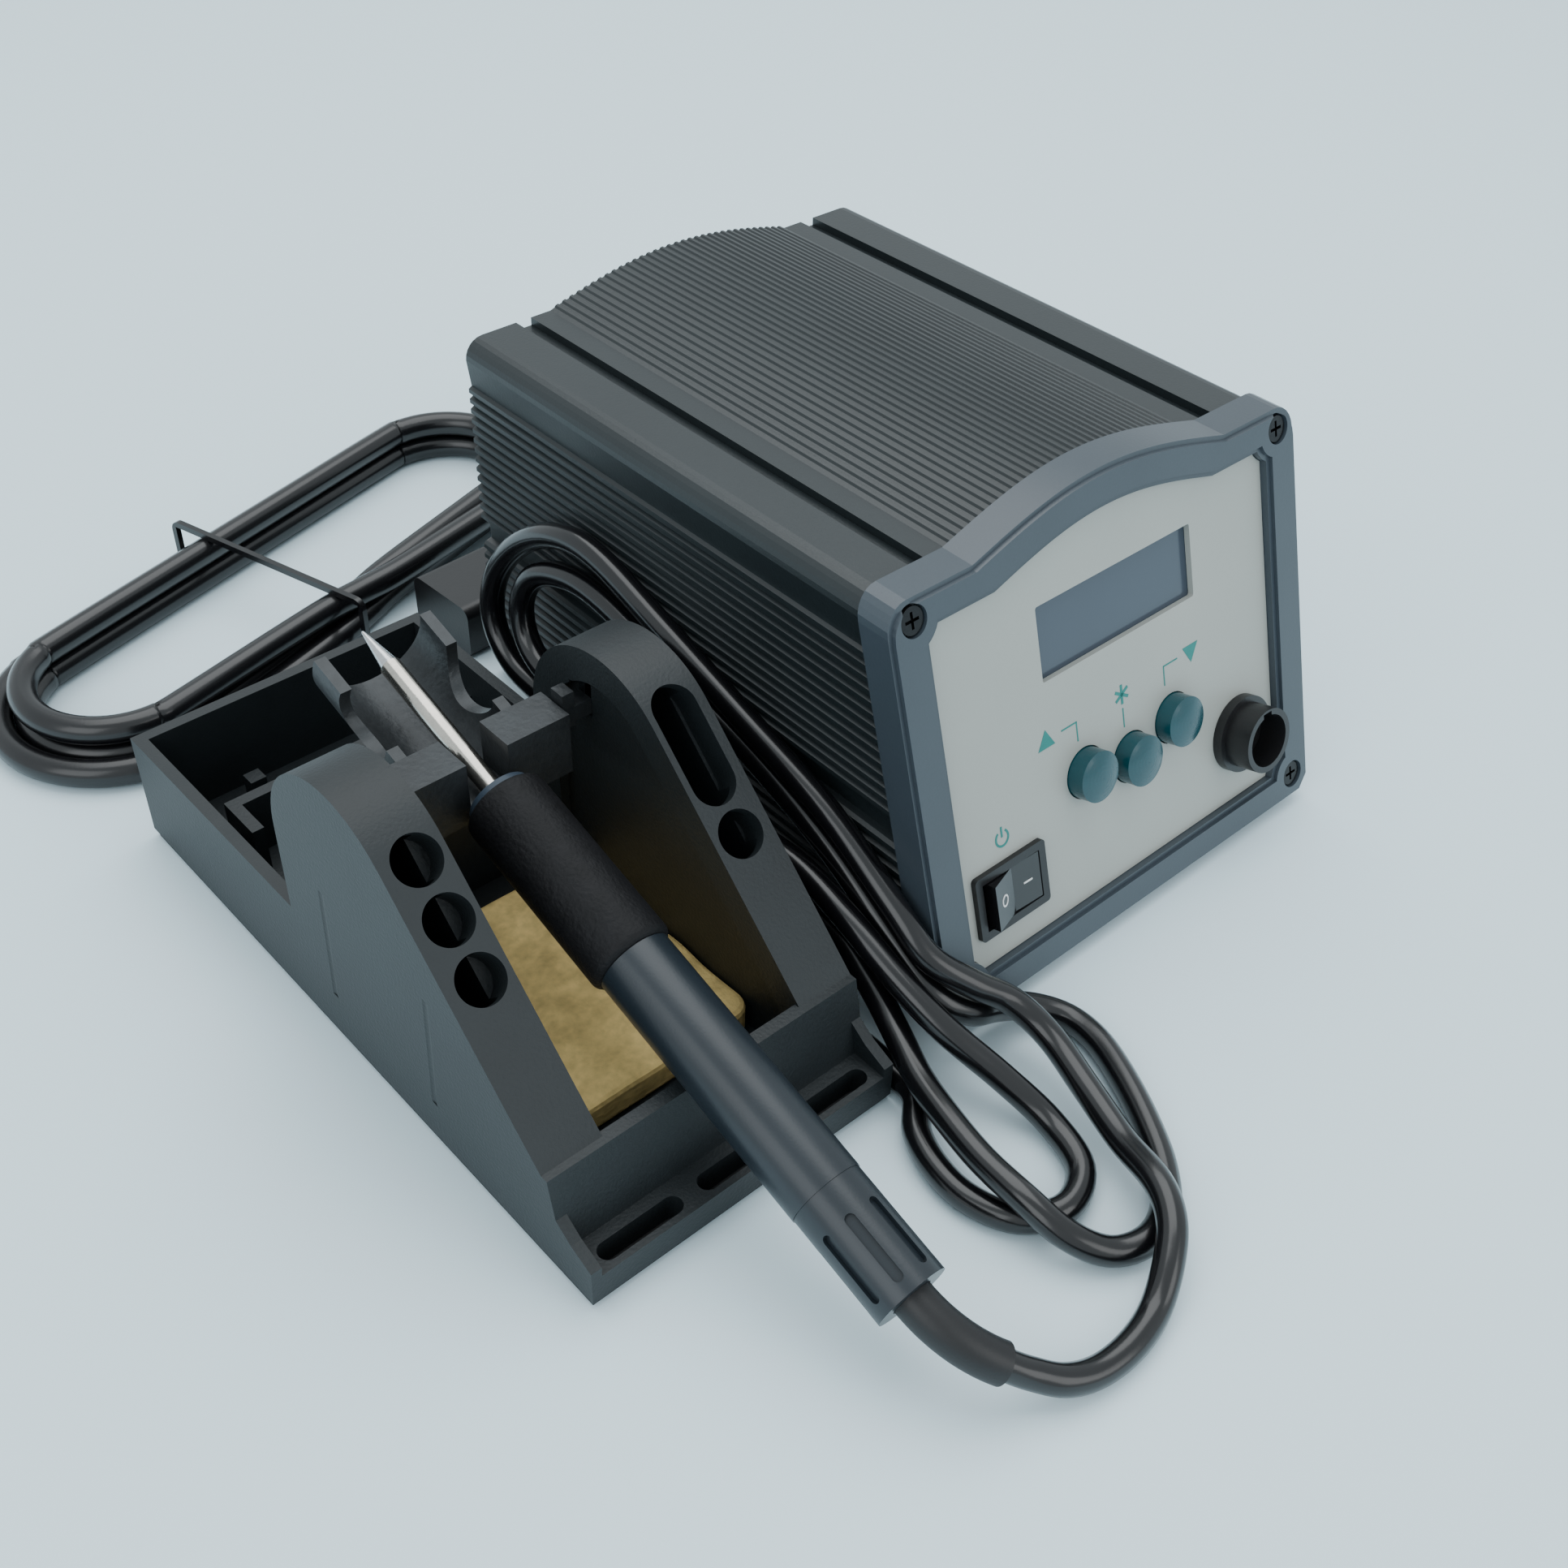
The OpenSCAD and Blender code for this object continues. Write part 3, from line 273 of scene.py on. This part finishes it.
LEAD_D = 7.4
LEAD_Z = LEAD_D / 2 + 0.1
HANK = (Matrix.Translation(Vector((-85, 152, 0)))
        @ Matrix.Rotation(math.radians(16), 4, "Z"))
HANK_L = 196
HANK_W = 68


HALF = (HANK_L - HANK_W) / 2
OUTER = HANK_W / 2 - LEAD_D / 2
INNER = OUTER - LEAD_D - 0.1
LOW = LEAD_Z
HIGH = LEAD_Z + LEAD_D + 0.1


def bend(side, radius, first, last, z):
    """An arc round one end of the hank, counterclockwise between two angles."""
    steps = round((last - first) / 15)
    angles = [math.radians(first + (last - first) * i / steps) for i in range(steps + 1)]
    return [(side * HALF + radius * math.cos(a), radius * math.sin(a), z) for a in angles]


def straight(y0, y1, z0, z1, way):
    """The middle of a straight run, going right (1) or left (-1)."""
    return [(way * HALF * (2 * k - 1) * 0.5, y0 + (y1 - y0) * k, z0 + (z1 - z0) * k)
            for k in (0.25, 0.5, 0.75)]


hank_black = finish("mains lead PVC", (0.005, 0.005, 0.006), 0.3, grain=2200.0, depth=0.04,
                    mottle=50.0, vary=0.25, dust=0.3, coat=0.15)
coil = (bend(1, OUTER, 0, 90, LOW) + straight(OUTER, OUTER, LOW, LOW, -1)
        + bend(-1, OUTER, 90, 270, LOW) + straight(-OUTER, -INNER, LOW, LOW, 1)
        + bend(1, INNER, -90, 90, LOW) + straight(INNER, INNER, LOW, LOW, -1)
        + bend(-1, INNER, 90, 270, LOW) + straight(-INNER, -INNER, LOW, HIGH, 1)
        + bend(1, INNER, -90, 90, HIGH) + straight(INNER, INNER, HIGH, HIGH, -1)
        + bend(-1, INNER, 90, 270, HIGH) + straight(-INNER, -OUTER, HIGH, HIGH, 1))
SOCKET_Z = 8.1
PLUG_Z = 12.1
lead_route = ([(-20, 108.5, SOCKET_Z), (-15, 109.4, SOCKET_Z - 0.3), (-7.5, 112.5, LEAD_Z + 2.8),
               (3.5, 122, LEAD_Z + 0.6), (10.5, 136, LEAD_Z), (12, 152, LEAD_Z)]
              + [tuple(HANK @ Vector(p)) for p in coil]
              + [tuple(HANK @ Vector((HALF + d, -OUTER, z))) for d, z in
                 ((0, HIGH), (15, HIGH), (30, HIGH), (44, PLUG_Z), (52, PLUG_Z))])

lead_line = smooth(lead_route)
mains_lead = new_object("mains_lead", cord_curve("mains_lead", lead_line, LEAD_D, hank_black),
                        "station")
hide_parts("mains_hank", "lead_to_socket", "lead_to_plug")
dress(hank_black, "wire_tie")

# ---------- control unit's case ----------
# One aluminium extrusion, ribbed lengthwise and painted dark slate.
# The rear panel is folded sheet in the same paint.

case_slate = finish("case paint", (0.011, 0.016, 0.018), 0.42, grain=1500.0, depth=0.1,
                    mottle=35.0, vary=0.14, dust=0.2)
dress(case_slate, "case_shell", "rear_panel")

# ---------- bezel ----------
# A moulded frame in a bluer slate, slightly glossy, held by four black screws.

bezel_slate = finish("bezel plastic", (0.044, 0.058, 0.072), 0.36, grain=1800.0, depth=0.05,
                     mottle=45.0, vary=0.08, dust=0.12, coat=0.08)
dress(bezel_slate, "front_bezel")
screw_black = finish("blackened steel", (0.012, 0.012, 0.013), 0.28, grain=1200.0, depth=0.08,
                     mottle=400.0, vary=0.3, metal=0.6)
dress(screw_black, "front_screws", "rear_screws")

# ---------- front panel and its marks ----------
# A matt light grey plate with the key symbols printed in teal.

LEAN = math.radians(16.7)
UP = 1 / math.cos(LEAN)
SCREW_LO = 6.2 * UP
PANEL_Z = -2.6


def on_face(x, s, z):
    """A place on the leaning face: x across, s up the slope, z out of it, in millimetres."""
    return (Matrix.Translation(UNIT + Vector((0, -87, 3)) * MM)
            @ Matrix.Rotation(math.pi / 2 - LEAN, 4, "X")
            @ Matrix.Translation(Vector((x, s, z)) * MM))


def bar(bm, place, w, h, t):
    """A flat bar w by h and t thick, laid at a place."""
    size = Matrix.Diagonal((w * MM, h * MM, t * MM, 1))
    bmesh.ops.create_cube(bm, size=1, matrix=place @ size)


def arrow(bm, place, w, h, t):
    """A printed triangle, its point along +Y."""
    size = Matrix.Diagonal((w * MM / 1.732, h * MM / 1.5, t * MM, 1))
    bmesh.ops.create_cone(bm, cap_ends=True, segments=3, radius1=1, radius2=1, depth=1,
                          matrix=place @ size)


def ring(bm, place, r, w, t, start=0, sweep=360):
    """A printed ring or arc of radius r and line width w."""
    a = bmesh.ops.create_circle(bm, segments=4, radius=0.7071,
                                matrix=place @ Matrix.Rotation(math.radians(start), 4, "Z")
                                @ Matrix.Translation((r * MM, 0, 0))
                                @ Matrix.Rotation(math.pi / 2, 4, "X")
                                @ Matrix.Diagonal((w * MM, t * MM, 1, 1))
                                @ Matrix.Rotation(math.pi / 4, 4, "Z"))
    edges = {e for v in a["verts"] for e in v.link_edges}
    full = sweep == 360
    if not full:
        bmesh.ops.contextual_create(bm, geom=list(edges))
    faces = {f for v in a["verts"] for f in v.link_faces}
    bmesh.ops.spin(bm, geom=list(a["verts"]) + list(edges) + list(faces),
                   cent=place.translation, axis=place.col[2].to_3d(),
                   angle=math.radians(sweep), steps=32 if full else 24, use_merge=full)


def mesh_piece(name, bm, mat, body):
    """Turns a bmesh into a piece with one finish."""
    bmesh.ops.recalc_face_normals(bm, faces=bm.faces)
    mesh = bpy.data.meshes.new(name)
    bm.to_mesh(mesh)
    bm.free()
    mesh.materials.append(mat)
    return new_object(name, mesh, body)


panel_grey = finish("panel face", (0.37, 0.385, 0.36), 0.5, grain=2600.0, depth=0.04,
                    mottle=25.0, vary=0.04, dust=0.1)
dress(panel_grey, "front_panel")

INK_T = 0.08
INK_Z = PANEL_Z + INK_T / 2
marks = bmesh.new()
arrow(marks, on_face(-23.6, SCREW_LO + 46.2, INK_Z), 5.4, 4.4, INK_T)
arrow(marks, on_face(25.6, SCREW_LO + 47.2, INK_Z) @ Matrix.Rotation(math.pi, 4, "Z"),
      5.4, 4.4, INK_T)
for i in range(3):
    bar(marks, on_face(1.4, SCREW_LO + 46.6, INK_Z) @ Matrix.Rotation(math.radians(60 * i), 4, "Z"),
        0.75, 4.8, INK_T)
bar(marks, on_face(1.4, SCREW_LO + 40.8, INK_Z), 0.35, 4.8, INK_T)
bar(marks, on_face(-16.2, SCREW_LO + 46.6, INK_Z), 5, 0.35, INK_T)
bar(marks, on_face(-13.8, SCREW_LO + 44.3, INK_Z), 0.35, 4.9, INK_T)
bar(marks, on_face(18.4, SCREW_LO + 47.2, INK_Z), 5, 0.35, INK_T)
bar(marks, on_face(16, SCREW_LO + 44.8, INK_Z), 0.35, 4.9, INK_T)
ring(marks, on_face(-40, SCREW_LO + 30.4, INK_Z), 1.9, 0.55, INK_T, start=125, sweep=290)
bar(marks, on_face(-40, SCREW_LO + 31.9, INK_Z), 0.55, 2.6, INK_T)
teal_ink = finish("teal ink", (0.004, 0.185, 0.165), 0.45, grain=3000.0, depth=0.03,
                  mottle=500.0, vary=0.12, dust=0.05)
mesh_piece("panel_marks", marks, teal_ink, "station")

# ---------- display ----------
# A grey-blue liquid crystal panel behind the window, with a navy frame round its edges.

lcd = finish("display glass", (0.042, 0.058, 0.082), 0.22, grain=4000.0, depth=0.02,
             mottle=30.0, vary=0.05, dust=0.1, coat=0.2)
dress(lcd, "display_window")
navy = finish("display frame", (0.012, 0.022, 0.11), 0.4, grain=1500.0, depth=0.05)
dress(navy, "display_module")

# ---------- keys, switch and socket ----------
# Three domed teal keys, a black rocker switch with its off and on signs,
# and a black round socket with brass contacts.

button_teal = finish("key plastic", (0.003, 0.055, 0.07), 0.3, grain=2000.0, depth=0.04,
                     mottle=150.0, vary=0.1, coat=0.15)
dress(button_teal, "button_up", "button_set", "button_down")
switch_black = finish("switch plastic", (0.009, 0.009, 0.01), 0.4, grain=1800.0, depth=0.08,
                      mottle=100.0, vary=0.2)
dress(switch_black, "switch_housing", "key_switches", "iron_socket", "socket_insert",
      "mains_inlet", "fuse_cap")
rocker_black = finish("rocker plastic", (0.006, 0.006, 0.007), 0.22, grain=1800.0, depth=0.03,
                      mottle=100.0, vary=0.2, coat=0.3)
dress(rocker_black, "power_rocker")

ROCKER = (on_face(-63 + 23.2, SCREW_LO + 17.3, PANEL_Z - 1)
          @ Matrix.Rotation(math.radians(9), 4, "Y"))
signs = bmesh.new()
slope = math.atan2(1.6, 8.2)
left_top = (ROCKER @ Matrix.Translation(Vector((-4.4, 0, 2.9)) * MM)
            @ Matrix.Rotation(slope, 4, "Y"))
right_top = (ROCKER @ Matrix.Translation(Vector((4.4, 0, 2.9)) * MM)
             @ Matrix.Rotation(-slope, 4, "Y"))
ring(signs, left_top, 1.25, 0.4, 0.1)
bar(signs, right_top, 2.6, 0.42, 0.1)
white_ink = finish("white ink", (0.75, 0.76, 0.76), 0.5, grain=3000.0, depth=0.03)
mesh_piece("rocker_signs", signs, white_ink, "rocker")

contact_brass = finish("plated contacts", (0.56, 0.42, 0.16), 0.3, metal=1.0, grain=3000.0)
dress(contact_brass, "socket_contacts", "cord_plug_pins")
pin_steel = finish("plated pins", (0.5, 0.5, 0.5), 0.25, metal=1.0, grain=2500.0)
dress(pin_steel, "inlet_pins", "mains_plug_pins")
earth_green = finish("earth terminal", (0.02, 0.16, 0.05), 0.35, grain=1500.0)
dress(earth_green, "earth_socket")

# ---------- inside the unit ----------
# The boards are green lacquered laminate, the transformer laminated steel round copper wire.

board_green = finish("board lacquer", (0.015, 0.12, 0.035), 0.3, grain=700.0, depth=0.15)
dress(board_green, "control_board", "main_board")
core_steel = finish("core laminations", (0.2, 0.2, 0.21), 0.5, metal=0.8, grain=900.0, depth=0.2)
dress(core_steel, "transformer_core")
coil_copper = finish("coil windings", (0.4, 0.13, 0.04), 0.4, metal=0.7, grain=1300.0, depth=0.3)
dress(coil_copper, "transformer_coil")
foot_rubber = finish("foot rubber", (0.012, 0.012, 0.013), 0.7, grain=1100.0, depth=0.15)
dress(foot_rubber, "case_feet", "base_pad")

# ---------- stand ----------
# One casting in filled plastic, dark slate, with a fine dry grain all over.

stand_slate = finish("stand moulding", (0.008, 0.012, 0.014), 0.58, grain=1300.0, depth=0.28,
                     mottle=90.0, vary=0.16, dust=0.25)
dress(stand_slate, "stand_body")

# ---------- iron holder ----------
# A grey zinc casting hooked between the cheeks.

holder_grey = finish("zinc casting", (0.03, 0.034, 0.037), 0.45, grain=700.0, depth=0.35,
                     mottle=120.0, vary=0.3, dust=0.2, metal=0.35)
dress(holder_grey, "iron_holder")

# ---------- sponge ----------
# A pressed cellulose sponge, ochre, its top uneven and crumpled from drying.

SPONGE_L = 62
SPONGE_W = 50
SPONGE_T = 8
SPONGE_AT = (STAND_X + 2, -28, 5.3)
FADE = 4 * MM  # the top sinks a little towards the sponge's edges over this width
sponge = bmesh.new()
bmesh.ops.create_cube(sponge, size=1, matrix=Matrix.Diagonal((SPONGE_W * MM, SPONGE_L * MM,
                                                              SPONGE_T * MM, 1)))
upright = [e for e in sponge.edges if abs(e.verts[0].co.z - e.verts[1].co.z) > 1e-4]
bmesh.ops.bevel(sponge, geom=upright, offset=4.5 * MM, affect="EDGES", segments=5, profile=0.5,
                material=-1)
bmesh.ops.bevel(sponge, geom=[e for e in sponge.edges if abs(e.verts[0].co.z - e.verts[1].co.z)
                              < 1e-5], offset=1.2 * MM, affect="EDGES", segments=2, profile=0.5,
                material=-1)
for axis, count, size in (((1, 0, 0), 24, SPONGE_W), ((0, 1, 0), 30, SPONGE_L)):
    for i in range(1, count):
        place = Vector(axis) * (i / count - 0.5) * size * MM
        bmesh.ops.bisect_plane(sponge, geom=sponge.verts[:] + sponge.edges[:] + sponge.faces[:],
                               plane_co=place, plane_no=axis)
for v in sponge.verts:
    wave = (math.sin(v.co.x * 420 + 1.3 * math.sin(v.co.y * 260))
            + math.sin(v.co.y * 350 + 2.1 * math.sin(v.co.x * 190)))
    edge = min(1, (SPONGE_W / 2 * MM - abs(v.co.x)) / FADE,
               (SPONGE_L / 2 * MM - abs(v.co.y)) / FADE)
    if v.co.z > 0:
        v.co.z += (0.28 * wave - 0.25 - 0.5 * (1 - edge)) * MM * 0.8
bmesh.ops.translate(sponge, verts=sponge.verts, vec=UNIT + Vector(SPONGE_AT) * MM
                    + Vector((0, 0, SPONGE_T / 2 * MM)))
sponge_ochre = finish("cellulose sponge", (0.76, 0.56, 0.22), 0.8, grain=520.0, depth=1.0,
                      mottle=170.0, vary=0.3, dust=0.1, specular=0.25)
sponge_piece = mesh_piece("sponge_pad", sponge, sponge_ochre, "station")
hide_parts("sponge")

# ---------- iron ----------
# A plated tip in a stainless barrel, a black foam grip and a slate plastic handle.

tip_metal = finish("plated tip", (0.6, 0.6, 0.61), 0.28, metal=1.0, grain=1500.0, depth=0.1,
                   mottle=300.0, vary=0.15)
dress(tip_metal, "iron_tip")
barrel_steel = finish("stainless barrel", (0.56, 0.53, 0.48), 0.25, metal=1.0, grain=1200.0,
                      depth=0.06, mottle=150.0, vary=0.15)
dress(barrel_steel, "tip_barrel")
heater_ceramic = finish("heater ceramic", (0.72, 0.68, 0.6), 0.6, grain=1000.0)
dress(heater_ceramic, "heater_core")
collar_slate = finish("collar plastic", (0.03, 0.045, 0.065), 0.4, grain=1500.0)
dress(collar_slate, "nose_collar")
grip_foam = finish("grip foam", (0.007, 0.007, 0.008), 0.62, grain=1100.0, depth=0.6,
                   mottle=250.0, vary=0.3, dust=0.15, specular=0.2)
dress(grip_foam, "foam_grip")
handle_slate = finish("handle plastic", (0.013, 0.019, 0.025), 0.36, grain=1800.0, depth=0.05,
                      mottle=60.0, vary=0.1, dust=0.2)
dress(handle_slate, "iron_handle", "handle_cap")
sleeve_rubber = finish("sleeve rubber", (0.007, 0.007, 0.008), 0.5, grain=1500.0, depth=0.1)
dress(sleeve_rubber, "cord_sleeve")

# ---------- floor and light ----------
# A pale table under a broad soft light, with a weaker one from the left.


def plain(name, colour, rough):
    """A plain matt backdrop finish."""
    mat = bpy.data.materials.new(name)
    mat.use_nodes = True
    shader = mat.node_tree.nodes["Principled BSDF"]
    shader.inputs["Base Color"].default_value = colour + (1,)
    shader.inputs["Roughness"].default_value = rough
    return mat


floor_bm = bmesh.new()
bmesh.ops.create_grid(floor_bm, x_segments=1, y_segments=1, size=4)
floor_mesh = bpy.data.meshes.new("table")
floor_bm.to_mesh(floor_mesh)
floor_bm.free()
floor_mesh.materials.append(plain("table top", (0.72, 0.88, 0.95), 0.6))
floor = bpy.data.objects.new("table", floor_mesh)
bpy.context.scene.collection.objects.link(floor)


def soft_light(name, place, aim, size, power, colour):
    """A square soft box at a place, aimed at a point."""
    lamp = bpy.data.lights.new(name, "AREA")
    lamp.size = size
    lamp.energy = power
    lamp.color = colour
    holder = bpy.data.objects.new(name, lamp)
    holder.location = place
    holder.rotation_euler = (Vector(aim) - Vector(place)).to_track_quat("-Z", "Y").to_euler()
    bpy.context.scene.collection.objects.link(holder)


soft_light("top_box", (0.25, 0.35, 1.3), (-0.05, 0, 0.05), 1.3, 13, (0.97, 0.99, 1))
soft_light("left_box", (-1.3, -0.3, 0.9), (-0.05, 0, 0.05), 1.0, 6, (0.95, 0.98, 1))
soft_light("front_box", (0.3, -1.4, 0.8), (0, 0, 0.05), 0.9, 5, (1, 1, 1))
world = bpy.data.worlds.new("studio")
bpy.context.scene.world = world
world.use_nodes = True
world.node_tree.nodes["Background"].inputs["Color"].default_value = (0.84, 0.93, 0.97, 1)
world.node_tree.nodes["Background"].inputs["Strength"].default_value = 1.05
